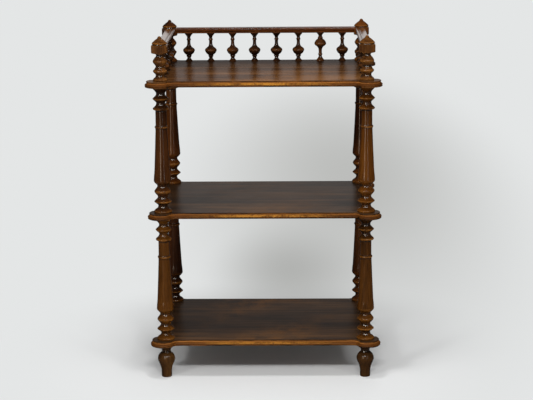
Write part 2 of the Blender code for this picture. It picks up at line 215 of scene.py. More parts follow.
def middle_of(node):
    """The middle of a CAD node's box."""
    low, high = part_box(node)
    return (low + high) / 2


def shelf_top(level):
    """The height of a shelf's upper face."""
    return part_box("shelf_" + level)[1].z


def shelf_underside(level):
    """The height of a shelf's lower face."""
    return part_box("shelf_" + level)[0].z


# Work at the bench: selecting, drawing lines, turning


def clear_bench():
    """Leave edit mode and select nothing."""
    if bpy.context.mode != "OBJECT":
        bpy.ops.object.mode_set(mode="OBJECT")
    bpy.ops.object.select_all(action="DESELECT")


def take(piece):
    """Select one piece alone."""
    clear_bench()
    piece.select_set(True)
    bpy.context.view_layer.objects.active = piece


def new_point(place):
    """One loose point in the mesh that is being edited."""
    bpy.ops.mesh.primitive_plane_add(size=SEED_FACE, location=place)
    bpy.ops.mesh.merge(type="CENTER")


def new_piece(name):
    """An empty mesh at the origin, in edit mode."""
    clear_bench()
    bpy.ops.mesh.primitive_plane_add(size=SEED_FACE)
    piece = bpy.context.object
    piece.name = name
    piece.data.name = name
    bpy.ops.object.mode_set(mode="EDIT")
    bpy.ops.mesh.select_all(action="SELECT")
    bpy.ops.mesh.delete(type="VERT")
    return piece


def draw_line(places):
    """A line of edges through some places, in the mesh that is being edited."""
    places = [Vector(place) for place in places]
    new_point(places[0])
    for here, there in zip(places, places[1:]):
        bpy.ops.mesh.extrude_region_move(TRANSFORM_OT_translate={"value": there - here})


def close_up(piece):
    """Merge doubled points, turn the faces outwards and smooth all but the arrises."""
    bpy.ops.mesh.select_all(action="SELECT")
    bpy.ops.mesh.remove_doubles(threshold=SAME_POINT)
    bpy.ops.mesh.normals_make_consistent(inside=False)
    take(piece)
    bpy.ops.object.shade_smooth_by_angle(angle=SMOOTH_ANGLE)


def copy_piece(piece, name, move):
    """A copy with a mesh of its own, moved into place."""
    take(piece)
    bpy.ops.object.duplicate(linked=False)
    bpy.ops.transform.translate(value=move)
    bpy.ops.object.transform_apply(location=True, rotation=False, scale=False)
    copy = bpy.context.object
    copy.name = name
    copy.data.name = name
    return copy


def stand_in(piece, node, slot, *finishes):
    """Put a finished piece in a CAD node's place."""
    piece.data.materials.clear()
    for finish in finishes:
        piece.data.materials.append(finish)
    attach(piece, "root")
    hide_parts(node)


# Profiles: smooth runs that meet at slightly softened arrises


def smooth_run(run, step):
    """Places at most a step apart on a smooth curve through a run. Two points make a line."""
    knots = [Vector(knot) for knot in run]
    chords = [there - here for here, there in zip(knots, knots[1:])]
    ways = [chord.normalized() for chord in chords]
    leans = [
        (before * further.length + after * nearer.length) / (nearer.length + further.length)
        for before, after, nearer, further in zip(ways, ways[1:], chords, chords[1:])
    ]
    first = END_LEAN * ways[0] - (END_LEAN - 1) * (leans[0] if leans else ways[0])
    last = END_LEAN * ways[-1] - (END_LEAN - 1) * (leans[-1] if leans else ways[-1])
    leans = [first, *leans, last]
    places = []
    for index, chord in enumerate(chords):
        reach = chord.length * CURVE_HANDLE
        count = 2 if len(knots) == 2 else max(2, math.ceil(chord.length / step) + 1)
        curve = interpolate_bezier(
            knots[index],
            knots[index] + leans[index] * reach,
            knots[index + 1] - leans[index + 1] * reach,
            knots[index + 1],
            count,
        )
        places.extend(place.to_2d() for place in curve[:-1])
    return [*places, knots[-1]]


def soften(outline, arrises):
    """Cut the sharp corners of an outline back by a hair, as sanding does."""
    softened = []
    for index, corner in enumerate(outline):
        if index not in arrises or index in (0, len(outline) - 1):
            softened.append(corner)
            continue
        for neighbour in (outline[index - 1], outline[index + 1]):
            arm = neighbour - corner
            softened.append(corner + arm * min(ARRIS_SOFTNESS / arm.length, LONGEST_CUT))
    return softened


def outline_of(runs, step):
    """One outline through all the runs of a profile, in millimetres."""
    outline = []
    arrises = set()
    for run in runs:
        places = smooth_run(run, step)
        if outline and (outline[-1] - places[0]).length < SAME_POINT:
            places = places[1:]
            arrises.add(len(outline) - 1)
        elif outline:
            arrises.update((len(outline) - 1, len(outline)))
        outline.extend(places)
    return soften(outline, arrises)


def proudness(outline, reach, closed=False):
    """How far each place stands out from the outline near it: 1 on a ridge, -1 in a groove."""
    places = np.array([tuple(place) for place in outline])
    if closed:
        places = np.vstack([places, places[:1]])
    along = np.concatenate([[0.0], np.cumsum(np.linalg.norm(np.diff(places, axis=0), axis=1))])
    nearby = np.linspace(-reach, reach, NEARBY_SAMPLES)
    period = along[-1] if closed else None

    def places_at(distances):
        """The places at some distances along the outline."""
        return np.array([np.interp(distances, along, column, period=period) for column in places.T])

    values = []
    for index in range(len(outline)):
        mean = places_at(along[index] + nearby).mean(axis=1)
        chord = places_at(along[index] + TANGENT_REACH) - places_at(along[index] - TANGENT_REACH)
        way = chord / max(np.linalg.norm(chord), SAME_POINT)
        out = np.array([-way[1], way[0]])
        stands = float(np.dot(places[index] - mean, out)) / (reach * FULLY_PROUD)
        values.append(max(-1.0, min(1.0, stands)))
    return values


def mark_crest(piece, values):
    """Keep on each point how proud it stands, for wear and grime, and go on in edit mode."""
    take(piece)
    crest = piece.data.attributes.new("crest", "FLOAT", "POINT")
    crest.data.foreach_set("value", values)
    bpy.ops.object.mode_set(mode="EDIT")


# Turned pieces


def turn_piece(name, runs, axis, low, high, step, turns):
    """A closed turned piece on an upright axis, its profile stretched between two heights."""
    outline = outline_of(runs, step)
    stretch = (high - low) / (outline[-1].x * MILLIMETRE)
    places = [
        Vector((axis.x + place.y * MILLIMETRE, axis.y, low + place.x * MILLIMETRE * stretch))
        for place in outline
    ]
    foot = Vector((axis.x, axis.y, places[0].z))
    tip = Vector((axis.x, axis.y, places[-1].z))
    piece = new_piece(name)
    draw_line([foot, *places, tip])
    mark_crest(piece, [0.0, *proudness(outline, TURNED_REACH), 0.0])
    bpy.ops.mesh.select_all(action="SELECT")
    centre = (axis.x, axis.y, 0.0)
    bpy.ops.mesh.spin(steps=turns, angle=math.tau, center=centre, axis=(0.0, 0.0, 1.0))
    close_up(piece)
    return piece


def turned_feet():
    """Four peg feet with a bulb, from the floor to the bottom shelf."""
    pattern = None
    for corner in CORNERS:
        node = "foot_" + corner
        axis = middle_of(node)
        if pattern is None:
            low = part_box(node)[0].z
            pattern = turn_piece("turned_" + node, FOOT, axis, low, shelf_underside("bottom"),
                                 COLUMN_STEP, COLUMN_TURNS)
            start = axis
            foot = pattern
        else:
            foot = copy_piece(pattern, "turned_" + node, (axis.x - start.x, axis.y - start.y, 0.0))
        stand_in(foot, node, "foot_walnut", FINISHES["foot"])


def turned_columns():
    """Eight columns of one pattern, four between each two shelves, in four finishes; the back ones'
    is darker as painted shade.
    """
    pattern = None
    for tier, below, above in (
        ("lower_column_", "bottom", "middle"),
        ("upper_column_", "middle", "top"),
    ):
        for corner in CORNERS:
            node = tier + corner
            axis = middle_of(node)
            foot = Vector((axis.x, axis.y, shelf_top(below)))
            if pattern is None:
                pattern = turn_piece("turned_" + node, COLUMN, axis, foot.z, shelf_underside(above),
                                     COLUMN_STEP, COLUMN_TURNS)
                start = foot
                column = pattern
            else:
                column = copy_piece(pattern, "turned_" + node, foot - start)
            # The back columns take a darker finish as painted shade; the upper front ones take a
            # tone each
            depth, side = corner.split("_")
            board = side if tier == "upper_column_" and depth == "front" else depth
            stand_in(column, node, "column_walnut", FINISHES[board + "_column"])


def gallery_block_half():
    """Half the width of the square block on a gallery post."""
    low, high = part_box("gallery_post_front_left")
    return (high.x - low.x) / 2


def square_stock(axis, low, high):
    """The square stick that a gallery post is turned from, its long edges eased."""
    half = gallery_block_half()
    clear_bench()
    bpy.ops.mesh.primitive_cube_add(
        size=1.0,
        location=(axis.x, axis.y, (low + high) / 2),
        scale=(2 * half, 2 * half, high - low + 2 * STOCK_OVERRUN),
    )
    stock = bpy.context.object
    bpy.ops.object.transform_apply(location=True, rotation=False, scale=True)
    bpy.ops.object.mode_set(mode="EDIT")
    shape = bmesh.from_edit_mesh(stock.data)
    for edge in shape.edges:
        edge.select_set(abs(edge.verts[0].co.z - edge.verts[1].co.z) > half)
    bmesh.update_edit_mesh(stock.data)
    bpy.ops.mesh.bevel(offset=STOCK_BEVEL, segments=STOCK_BEVEL_STEPS)
    clear_bench()
    return stock


def turned_gallery_posts():
    """Four posts on the top shelf: turned below, square at the rails, and a pointed dome above."""
    pattern = None
    for corner in CORNERS:
        node = "gallery_post_" + corner
        axis = middle_of(node)
        if pattern is None:
            low, high = shelf_top("top"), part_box(node)[1].z
            pattern = turn_piece("turned_" + node, GALLERY_POST, axis, low, high,
                                 COLUMN_STEP, COLUMN_TURNS)
            stock = square_stock(axis, low, high)
            take(pattern)
            bpy.ops.object.modifier_add(type="BOOLEAN")
            cut = pattern.modifiers[-1]
            cut.operation = "INTERSECT"
            cut.solver = "EXACT"
            cut.object = stock
            bpy.ops.object.modifier_apply(modifier=cut.name)
            bpy.data.objects.remove(stock)
            ease_block(pattern, axis)
            start = axis
            post = pattern
        else:
            post = copy_piece(pattern, "turned_" + node, (axis.x - start.x, axis.y - start.y, 0.0))
        # The back posts take a darker finish: painted shade
        finish = FINISHES[corner.split("_")[0] + "_gallery_post"]
        stand_in(post, node, "gallery_post_walnut", finish)


def ease_block(post, axis):
    """A narrow border round each face of the block, so that only its edges are worn."""
    half = gallery_block_half()
    bpy.ops.object.mode_set(mode="EDIT")
    bpy.ops.mesh.select_all(action="DESELECT")
    shape = bmesh.from_edit_mesh(post.data)
    crest = shape.verts.layers.float["crest"]
    for face in shape.faces:
        out = face.calc_center_median() - axis
        flat = max(abs(face.normal.x), abs(face.normal.y)) > NEARLY_SQUARE
        wide = face.calc_area() > half * half
        if flat and wide and max(abs(out.x), abs(out.y)) > half - STOCK_BEVEL:
            face.select_set(True)
            for point in face.verts:
                point[crest] = EDGE_CREST
    bmesh.update_edit_mesh(post.data)
    bpy.ops.mesh.inset(thickness=BLOCK_BORDER, use_individual=True)
    shape = bmesh.from_edit_mesh(post.data)
    crest = shape.verts.layers.float["crest"]
    for face in shape.faces:
        if face.select:
            for point in face.verts:
                point[crest] = 0.0
    bmesh.update_edit_mesh(post.data)
    close_up(post)


def turned_spindles():
    """The gallery's spindles, on one pattern; one of the back row stands on its head."""
    top, rail_underside = shelf_top("top"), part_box("back_rail")[0].z
    pattern = None
    for side, count in SPINDLE_COUNTS.items():
        for number in range(1, count + 1):
            node = f"{side}_spindle_{number}"
            axis = middle_of(node)
            if pattern is None:
                pattern = turn_piece("turned_" + node, SPINDLE, axis, top, rail_underside,
                                     SPINDLE_STEP, SPINDLE_TURNS)
                start = axis
                spindle = pattern
            else:
                move = (axis.x - start.x, axis.y - start.y, 0.0)
                spindle = copy_piece(pattern, "turned_" + node, move)
            if (side, number) == UPSIDE_DOWN_SPINDLE:
                stand_on_head(spindle, Vector((axis.x, axis.y, (top + rail_underside) / 2)))
            stand_in(spindle, node, "spindle_walnut", FINISHES["spindle"])


def stand_on_head(spindle, centre):
    """Turn a piece half round a level line through its middle."""
    take(spindle)
    bpy.ops.transform.rotate(value=math.pi, orient_axis="X", center_override=centre)
    bpy.ops.object.transform_apply(location=True, rotation=True, scale=False)


# Shelves


def arc(centre, radius, start, end, steps):
    """Places on an arc, its two ends included."""
    return [
        centre + radius * Vector((math.cos(angle), math.sin(angle)))
        for angle in (start + (end - start) * step / steps for step in range(steps + 1))
    ]


def quarter_outline(set_in, post):
    """A quarter of a shelf's outline, from the middle of its front to the middle of its side.

    The ear and the coves beside it are arcs that meet at an arris.
    """
    cove_radius = COVE_SHARE * (EAR_SET_OUT + EAR_RADIUS - EDGE_OVERHANG)
    cove_level = EDGE_OVERHANG + cove_radius
    rise = cove_level - EAR_SET_OUT
    cove_along = EAR_SET_OUT - math.sqrt(EAR_RADIUS**2 - rise**2) - cove_radius
    ear_centre = Vector((EAR_SET_OUT, EAR_SET_OUT))
    cove_centre = Vector((cove_along, cove_level))
    ear, cove = EAR_RADIUS - set_in, cove_radius + set_in
    apart = (cove_centre - ear_centre).length
    towards = (cove_centre - ear_centre) / apart
    along = (apart**2 + ear**2 - cove**2) / (2 * apart)
    aside = math.sqrt(ear**2 - along**2)
    arris = ear_centre + along * towards + aside * Vector((towards.y, -towards.x))
    from_cove, from_ear = arris - cove_centre, arris - ear_centre
    right = math.pi / 2
    bend = [
        *arc(cove_centre, cove, -right, math.atan2(from_cove.y, from_cove.x), COVE_STEPS),
        *arc(ear_centre, ear, math.atan2(from_ear.y, from_ear.x), right, EAR_BACK_STEPS)[1:],
        *arc(ear_centre, ear, right, right / 2, EAR_FRONT_STEPS)[1:],
    ]
    half_front = [Vector((-post.x, EDGE_OVERHANG - set_in)), *bend]
    half_side = [Vector((place.y, place.x)) for place in reversed(bend[:-1])]
    half_side.append(Vector((EDGE_OVERHANG - set_in, -post.y)))
    return [Vector((post.x + place.x, -post.y - place.y)) for place in [*half_front, *half_side]]


def moulded_shelves():
    """Three boards with eared corners and moulded edges: a quarter worked, mirrored and copied."""
    edge = outline_of(SHELF_EDGE, EDGE_STEP)
    margin = Vector((FLAT_MARGIN / MILLIMETRE, 0.0))
    section = [edge[0] + margin, *edge, edge[-1] + margin]
    crest = [-value for value in proudness(edge, MOULDING_REACH)]
    # The whole round of the edge counts as proud, so it turns golden: partly wear, partly painted
    # highlight
    crest = [
        max(stands, ROUND_WEAR_AND_HIGHLIGHT) if FILLET_DEPTH < place.y * MILLIMETRE < BEAD_DEPTH else stands
        for place, stands in zip(edge, crest)
    ]
    crest = [MARGIN_WEAR, *crest, 0.0]
    post = middle_of("foot_front_right")
    post = Vector((post.x, -post.y))
    top = shelf_top("bottom")
    board = new_piece("moulded_shelf_bottom")
    values = []
    for place, stands in zip(section, crest):
        outline = quarter_outline(place.x * MILLIMETRE, post)
        level = top - place.y * MILLIMETRE
        draw_line([(spot.x, spot.y, level) for spot in outline])
        # Wear and the round's painted highlight fade from the middle of a straight edge to the ears
        rubbed = [1.0, *[EAR_WEAR_AND_HIGHLIGHT] * (len(outline) - 2), 1.0]
        values.extend(stands * rubbing if stands > 0 else stands for rubbing in rubbed)
    mark_crest(board, values)
    for ring in range(len(section) - 1):
        bridge_rings(board, ring, len(values) // len(section))
    take(board)
    bpy.ops.object.modifier_add(type="MIRROR")
    mirror = board.modifiers[-1]
    mirror.use_axis = (True, True, False)
    mirror.merge_threshold = SAME_POINT
    bpy.ops.object.modifier_apply(modifier=mirror.name)
    bpy.ops.object.mode_set(mode="EDIT")
    bpy.ops.mesh.select_all(action="SELECT")
    bpy.ops.mesh.fill_holes(sides=0)
    ease_upper_face(board)
    close_up(board)
    for level in SHELVES:
        shelf = board
        if level != "bottom":
            shelf = copy_piece(board, "moulded_shelf_" + level, (0.0, 0.0, shelf_top(level) - top))
        stand_in(shelf, "shelf_" + level, "shelf_walnut", FINISHES[level + "_shelf"],
                 FINISHES["shelf_edge"], FINISHES["shelf_bead"], FINISHES["shelf_under"])
        upper_face = shelf_top(level)
        for face in shelf.data.polygons:
            face.material_index = shelf_finish(face, upper_face - face.center.z)


def ease_upper_face(board):
    """A margin round a board's upper face, where the wear from the edge runs out."""
    bpy.ops.mesh.select_all(action="DESELECT")
    shape = bmesh.from_edit_mesh(board.data)
    level_faces = [face for face in shape.faces if face.normal.z > FLAT_NORMAL]
    max(level_faces, key=lambda face: face.calc_area()).select_set(True)
    bmesh.update_edit_mesh(board.data)
    bpy.ops.mesh.inset(thickness=MARGIN_WIDTH)
    shape = bmesh.from_edit_mesh(board.data)
    crest = shape.verts.layers.float["crest"]
    for point in shape.verts:
        if point.select:
            point[crest] = 0.0
    bmesh.update_edit_mesh(board.data)


def shelf_finish(face, depth):
    """Which of a shelf's finishes a face takes, by how deep it lies below the top."""
    if face.normal.z < -FLAT_NORMAL:
        return ON_UNDERSIDE
    if depth < ARRIS_DEPTH:
        return ON_TOP
    return ON_ROUND if FILLET_DEPTH < depth < BEAD_DEPTH else ON_FILLET_AND_BEAD


def bridge_rings(piece, ring, length):
    """Faces between one drawn line of a piece and the next."""
    bpy.ops.mesh.select_all(action="DESELECT")
    shape = bmesh.from_edit_mesh(piece.data)
    shape.verts.ensure_lookup_table()
    for index in range(ring * length, (ring + 2) * length):
        shape.verts[index].select_set(True)
    shape.select_flush(True)
    bmesh.update_edit_mesh(piece.data)
    bpy.ops.mesh.bridge_edge_loops()


# Rails


def moulded_rail(name, start, end, inward, low, width):
    """A rail between two blocks, with a groove near its inner edge and mouldings on both faces."""
    groove_side = outline_of([*RAIL_TOP, *RAIL_FACE], EDGE_STEP)
    plain_side = outline_of([RAIL_TOP[2], *RAIL_FACE], EDGE_STEP)
    far_side = [Vector((width / MILLIMETRE - place.x, place.y)) for place in plain_side]
    section = [*reversed(far_side), *groove_side]
    piece = new_piece(name)
    places = [
        Vector((start.x, start.y, low + spot.y * MILLIMETRE))
        + inward * (width / 2 - spot.x * MILLIMETRE)
        for spot in section
    ]
    draw_line(places)
    mark_crest(piece, proudness(section, MOULDING_REACH, closed=True))
    bpy.ops.mesh.select_all(action="SELECT")
    bpy.ops.mesh.edge_face_add()
    bpy.ops.mesh.extrude_region_move(TRANSFORM_OT_translate={"value": end - start})
    close_up(piece)
    return piece


def moulded_rails():
    """The back rail and the two side rails, block to block."""
    half = gallery_block_half()
    for side, first, last, inward in (
        ("back", "back_left", "back_right", (0.0, -1.0, 0.0)),
        ("left", "front_left", "back_left", (1.0, 0.0, 0.0)),
        ("right", "front_right", "back_right", (-1.0, 0.0, 0.0)),
    ):
        node = side + "_rail"
        low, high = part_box(node)
        start, end = middle_of("gallery_post_" + first), middle_of("gallery_post_" + last)
        way = (end - start).normalized()
        start, end = start + way * half, end - way * half
        across = Vector(inward)
        centre = middle_of(node)
        # Both ends come onto the rail's own line
        for spot in (start, end):
            spot += across * (centre - spot).dot(across)
        width = abs((high - low).dot(across))
        rail = moulded_rail("moulded_" + node, start, end, across, low.z, width)
        stand_in(rail, node, "rail_walnut", FINISHES[side + "_rail"])


# Finishes: what their patterns are made of

# Noises: waves per metre, detail, roughness
DRIFT = (11.0, 3.0, 0.5)
FIBRES = (420.0, 3.0, 0.6)
STREAKS = (90.0, 2.0, 0.6)
SPECKS = (950.0, 1.0, 0.5)
PATCHES = (26.0, 3.0, 0.5)
RUBS = (160.0, 3.0, 0.6)
CLOUDS = (18.0, 3.0, 0.5)
SMEARS = (90.0, 3.0, 0.6)
RIPPLES = (60.0, 2.0, 0.5)
NOISE_MEAN = 0.5

# Growth lines round the heart of the tree, and how far the grain is drawn out along the wood
GROWTH_LINES = {
    "Scale": 70.0, "Distortion": 14.0,
    "Detail": 3.0, "Detail Scale": 0.12, "Detail Roughness": 0.55,
}
HEART_LINE = (0.0, 0.62, 0.21)
FIGURE_STRETCH = 0.22
FIBRE_STRETCH = 0.035
GRAIN_TURNS = {
    "X": (0.0, 0.0, 0.0),
    "Y": (0.0, 0.0, -math.pi / 2),
    "Z": (0.0, math.pi / 2, 0.0),
}

# Shares of the parts of each pattern, and between which values it comes in
FIBRE_STRENGTH = 0.35
DARK_TO_MIDDLE = (0.24, 0.54)
MIDDLE_TO_LIGHT = (0.48, 0.80)
PORE_EDGE = (0.60, 0.70)
PORE_STRENGTH = 0.5
PATCH_SHARE = 0.7
RUB_SHARE = 0.5
UNEVEN_REACH = (0.4, 0.8)
PROUD_REACH = (0.12, 0.85)
RECESS_REACH = (0.05, 0.75)
EVEN_DIRT_AND_SHADE = 0.35
# Painted shade at the rear of a shelf: it darkens from the first distance to the second, front to
# back
REAR_SHADE_REACH = (-0.16, 0.24)
# Dark colour for recesses and the rear: partly dirt, partly painted shade
DIRT_AND_SHADE_COLOUR = (24, 14, 9)
SMEAR_SHARE = 0.5
CLOUD_MEAN = 0.75
DIRT_AND_SHADE_DULLING = 0.1
WEAR_DULLING = 0.08
FIBRE_RELIEF = 0.25
PORE_RELIEF = 0.35
RELIEF_STRENGTH = 0.3
RELIEF_DEPTH = 0.0004
COAT_ROUGHNESS = 0.08

# Places of the colour sockets on a Mix node
MIX_ONE, MIX_TWO, MIX_RESULT = 6, 7, 2


# Finishes: node helpers


def paint(red, green, blue):
    """A colour as a paint chart gives it (0 to 255), made linear for the shader."""
    return (*(Color((red, green, blue)) / PAINT_CHART_FULL).from_srgb_to_scene_linear(), 1.0)


def plug_in(tree, node, inputs):
    """Give a node its inputs by name or place: a value, or another node's output."""
    for name, value in inputs.items():
        if isinstance(value, bpy.types.NodeSocket):
            tree.links.new(value, node.inputs[name])
        else:
            node.inputs[name].default_value = value
    return node


def add_node(tree, kind, inputs, **settings):
    """A node with its settings and inputs."""
    node = tree.nodes.new(kind)
    for name, value in settings.items():
        setattr(node, name, value)
    return plug_in(tree, node, inputs)


def maths(tree, operation, one, two=0.0, clamp=False):
    """The result of one calculation on one or two values."""
    node = add_node(tree, "ShaderNodeMath", {0: one, 1: two}, operation=operation, use_clamp=clamp)
    return node.outputs[0]


def blend(tree, share, one, two):
    """Two colours mixed by a share."""
    inputs = {0: share, MIX_ONE: one, MIX_TWO: two}
    return add_node(tree, "ShaderNodeMix", inputs, data_type="RGBA").outputs[MIX_RESULT]


def step_up(tree, value, low, high):
    """A soft step from 0 to 1 as a value goes from low to high."""
    inputs = {"Value": value, "From Min": low, "From Max": high}
    node = add_node(tree, "ShaderNodeMapRange", inputs, interpolation_type="SMOOTHSTEP")
    return node.outputs["Result"]


def length_of(tree, vector):
    """How long a vector is."""
    node = add_node(tree, "ShaderNodeVectorMath", {0: vector}, operation="LENGTH")
    return node.outputs["Value"]


def noise(tree, vector, scale, detail, roughness):
    """A noise pattern's value."""
    inputs = {"Vector": vector, "Scale": scale, "Detail": detail, "Roughness": roughness}
    return add_node(tree, "ShaderNodeTexNoise", inputs).outputs["Fac"]


def swing(tree, pattern, strength):
    """A pattern's swing to both sides of its mean."""
    return maths(tree, "MULTIPLY", maths(tree, "SUBTRACT", pattern, NOISE_MEAN), strength)


def new_group(name, inputs, outputs):
    """A shader node group with named inputs and outputs, each given as a name and a kind."""
    tree = bpy.data.node_groups.new(name, "ShaderNodeTree")
    for in_out, sockets in (("INPUT", inputs), ("OUTPUT", outputs)):
        for label, kind in sockets.items():
            tree.interface.new_socket(name=label, in_out=in_out, socket_type="NodeSocket" + kind)
    return tree, tree.nodes.new("NodeGroupInput").outputs, tree.nodes.new("NodeGroupOutput").inputs


def use_group(tree, group, inputs):
    """A node group placed in a material, with its own values."""
    node = tree.nodes.new("ShaderNodeGroup")
    node.node_tree = group
    return plug_in(tree, node, inputs).outputs


# Finishes: the shared effects


def walnut_figure_group():
    """Growth lines, drift, streaks, fibres and open pores, stretched as the vectors are."""
    tree, given, out = new_group(
        "walnut_figure",
        {
            "Figure Vector": "Vector",
            "Fibre Vector": "Vector",
            "Dark": "Color",
            "Middle": "Color",
            "Light": "Color",
            "Line Strength": "Float",
            "Streak Strength": "Float",
        },
        {"Color": "Color", "Fibre": "Float", "Pores": "Float"},
    )
    figure, fibre = given["Figure Vector"], given["Fibre Vector"]
    lines = add_node(tree, "ShaderNodeTexWave", {"Vector": figure, **GROWTH_LINES},
                     wave_type="RINGS", rings_direction="X", wave_profile="SIN").outputs["Fac"]
    lines = swing(tree, lines, given["Line Strength"])
    fibres = noise(tree, fibre, *FIBRES)
    fine = swing(tree, fibres, FIBRE_STRENGTH)
    streaks = swing(tree, noise(tree, fibre, *STREAKS), given["Streak Strength"])
    tone = maths(tree, "ADD", noise(tree, figure, *DRIFT), lines)
    tone = maths(tree, "ADD", tone, maths(tree, "ADD", fine, streaks))
    lower = blend(tree, step_up(tree, tone, *DARK_TO_MIDDLE), given["Dark"], given["Middle"])
    wood = blend(tree, step_up(tree, tone, *MIDDLE_TO_LIGHT), lower, given["Light"])
    specks = step_up(tree, noise(tree, fibre, *SPECKS), *PORE_EDGE)
    pores = maths(tree, "MULTIPLY", specks, PORE_STRENGTH)
    tree.links.new(blend(tree, pores, wood, given["Dark"]), out["Color"])
    tree.links.new(fibres, out["Fibre"])
    tree.links.new(pores, out["Pores"])
    return tree


def wear_dirt_and_shade_group():
    """Uneven wear where proud, dirt and painted shade in recesses, painted shade at the rear."""
    tree, given, out = new_group(
        "wear_dirt_and_shade",
        {
            "Vector": "Vector",
            "Color": "Color",
            "Crest": "Float",
            "Worn Color": "Color",
            "Dirt And Shade Color": "Color",
            "Wear": "Float",
            "Dirt And Shade": "Float",
            "Rear Shade": "Float",
        },
        {"Color": "Color", "Worn": "Float", "Dirt And Shade": "Float"},
    )
    patches = maths(tree, "MULTIPLY", noise(tree, given["Vector"], *PATCHES), PATCH_SHARE)
    rubs = maths(tree, "MULTIPLY", noise(tree, given["Vector"], *RUBS), RUB_SHARE)
    uneven = step_up(tree, maths(tree, "ADD", patches, rubs), *UNEVEN_REACH)
    proud = maths(tree, "MULTIPLY", step_up(tree, given["Crest"], *PROUD_REACH), uneven)
    worn = maths(tree, "MULTIPLY", proud, given["Wear"], clamp=True)
    # Recesses darken: partly dirt, partly painted shade
    recessed = step_up(tree, maths(tree, "MULTIPLY", given["Crest"], -1.0), *RECESS_REACH)
    dirt_and_shade = maths(tree, "MULTIPLY", recessed, given["Dirt And Shade"])
    dirt_and_shade = maths(tree, "MULTIPLY", dirt_and_shade, maths(tree, "ADD", uneven, EVEN_DIRT_AND_SHADE), clamp=True)
    # Painted shade: the finish darkens towards its rear
    rear = add_node(tree, "ShaderNodeSeparateXYZ", {"Vector": given["Vector"]}).outputs["Y"]
    rear = maths(tree, "MULTIPLY", step_up(tree, rear, *REAR_SHADE_REACH), given["Rear Shade"])
    dirt_and_shade = maths(tree, "MAXIMUM", dirt_and_shade, rear)
    rubbed = blend(tree, worn, given["Color"], given["Worn Color"])
    tree.links.new(blend(tree, dirt_and_shade, rubbed, given["Dirt And Shade Color"]), out["Color"])
    tree.links.new(worn, out["Worn"])
    tree.links.new(dirt_and_shade, out["Dirt And Shade"])
    return tree


def varnish_group():
    """How dull and uneven the old varnish is, where it has pooled, and the relief it leaves."""
    tree, given, out = new_group(
        "old_varnish",
        {
            "Vector": "Vector",
            "Fibre": "Float",
            "Pores": "Float",
            "Worn": "Float",
            "Dirt And Shade": "Float",
            "Dullness": "Float",
            "Unevenness": "Float",
            "Film": "Float",
            "Pooled": "Float",
        },
        {"Roughness": "Float", "Coat": "Float", "Height": "Float"},
    )
    smears = maths(tree, "MULTIPLY", noise(tree, given["Vector"], *SMEARS), SMEAR_SHARE)
    clouds = maths(tree, "ADD", noise(tree, given["Vector"], *CLOUDS), smears)
    uneven = maths(tree, "SUBTRACT", clouds, CLOUD_MEAN)
    uneven = maths(tree, "MULTIPLY", uneven, given["Unevenness"])
    dull = maths(tree, "ADD", given["Dullness"], uneven)
    dull = maths(tree, "ADD", dull, maths(tree, "MULTIPLY", given["Dirt And Shade"], DIRT_AND_SHADE_DULLING))
    rubbed = maths(tree, "MULTIPLY", given["Worn"], WEAR_DULLING)
    dull = maths(tree, "ADD", dull, rubbed, clamp=True)
    pooled = maths(tree, "MULTIPLY", given["Dirt And Shade"], given["Pooled"])
    film = maths(tree, "ADD", given["Film"], pooled, clamp=True)
    ripples = noise(tree, given["Vector"], *RIPPLES)
    relief = maths(tree, "ADD", ripples, maths(tree, "MULTIPLY", given["Fibre"], FIBRE_RELIEF))
    relief = maths(tree, "SUBTRACT", relief, maths(tree, "MULTIPLY", given["Pores"], PORE_RELIEF))
    tree.links.new(dull, out["Roughness"])
    tree.links.new(film, out["Coat"])
    tree.links.new(relief, out["Height"])
    return tree


GROUPS = {
    "figure": walnut_figure_group(),
    "wear_dirt_and_shade": wear_dirt_and_shade_group(),
    "varnish": varnish_group(),
}


# Finishes: the materials

# Dark, middle and light tone of each finish; the shaded tones are painted shade on the pieces at
# the back
TURNED_TONES = ((34, 17, 3), (71, 40, 10), (108, 65, 19))
FOOT_TONES = ((24, 12, 5), (54, 33, 14), (90, 60, 28))
RED_TONES = ((29, 13, 4), (58, 31, 11), (92, 52, 21))
YELLOW_TONES = ((35, 16, 3), (71, 38, 8), (110, 65, 17))
SHADED_TONES = ((28, 12, 3), (56, 27, 8), (86, 46, 14))
GALLERY_TONES = ((50, 27, 10), (92, 57, 24), (128, 84, 42))
SPINDLE_TONES = ((15, 7, 2), (34, 17, 6), (62, 34, 13))
TOP_TONES = ((46, 26, 11), (79, 50, 25), (114, 76, 42))
LOWER_TONES = ((28, 18, 10), (51, 34, 20), (79, 54, 31))
EDGE_TONES = ((46, 22, 6), (70, 38, 11), (94, 54, 18))
BEAD_TONES = ((74, 40, 14), (110, 66, 26), (142, 90, 38))
RAIL_TONES = ((46, 21, 8), (86, 44, 18), (120, 66, 32))
SIDE_RAIL_TONES = ((46, 26, 12), (84, 52, 28), (118, 80, 48))

# Colours of worn wood; the golden one is also painted highlight
BROWN = (132, 84, 32)
DARK_BROWN = (110, 66, 30)
GOLDEN_WEAR_AND_HIGHLIGHT = (142, 94, 32)

# Ways to finish the wood: the plain one, and what the others change
PLAIN = {
    "line_strength": 0.14, "streaks": 0.2, "offset": 0.0,
    "worn": BROWN, "wear": 0.6, "dirt_and_shade": 0.9, "unwiped": 0.0,
    "gloss": 0.24, "dullness": 0.24, "unevenness": 0.12, "coat": 0.0, "pooled": 0.0,
}
OILED = {
    "line_strength": 0.04, "dirt_and_shade": 0.8,
    "gloss": 0.1, "dullness": 0.2, "coat": 0.08, "pooled": 1.5,
}
POLISHED = {"gloss": 0.7, "dullness": 0.13, "unevenness": 0.05}
MATT = {"gloss": 0.06, "dullness": 0.4}
WAXED = {"unevenness": 0.05, "dirt_and_shade": 0.3, "streaks": 0.9}
STAINED = {"dullness": 0.7, "wear": 0.1, "dirt_and_shade": 0.2}


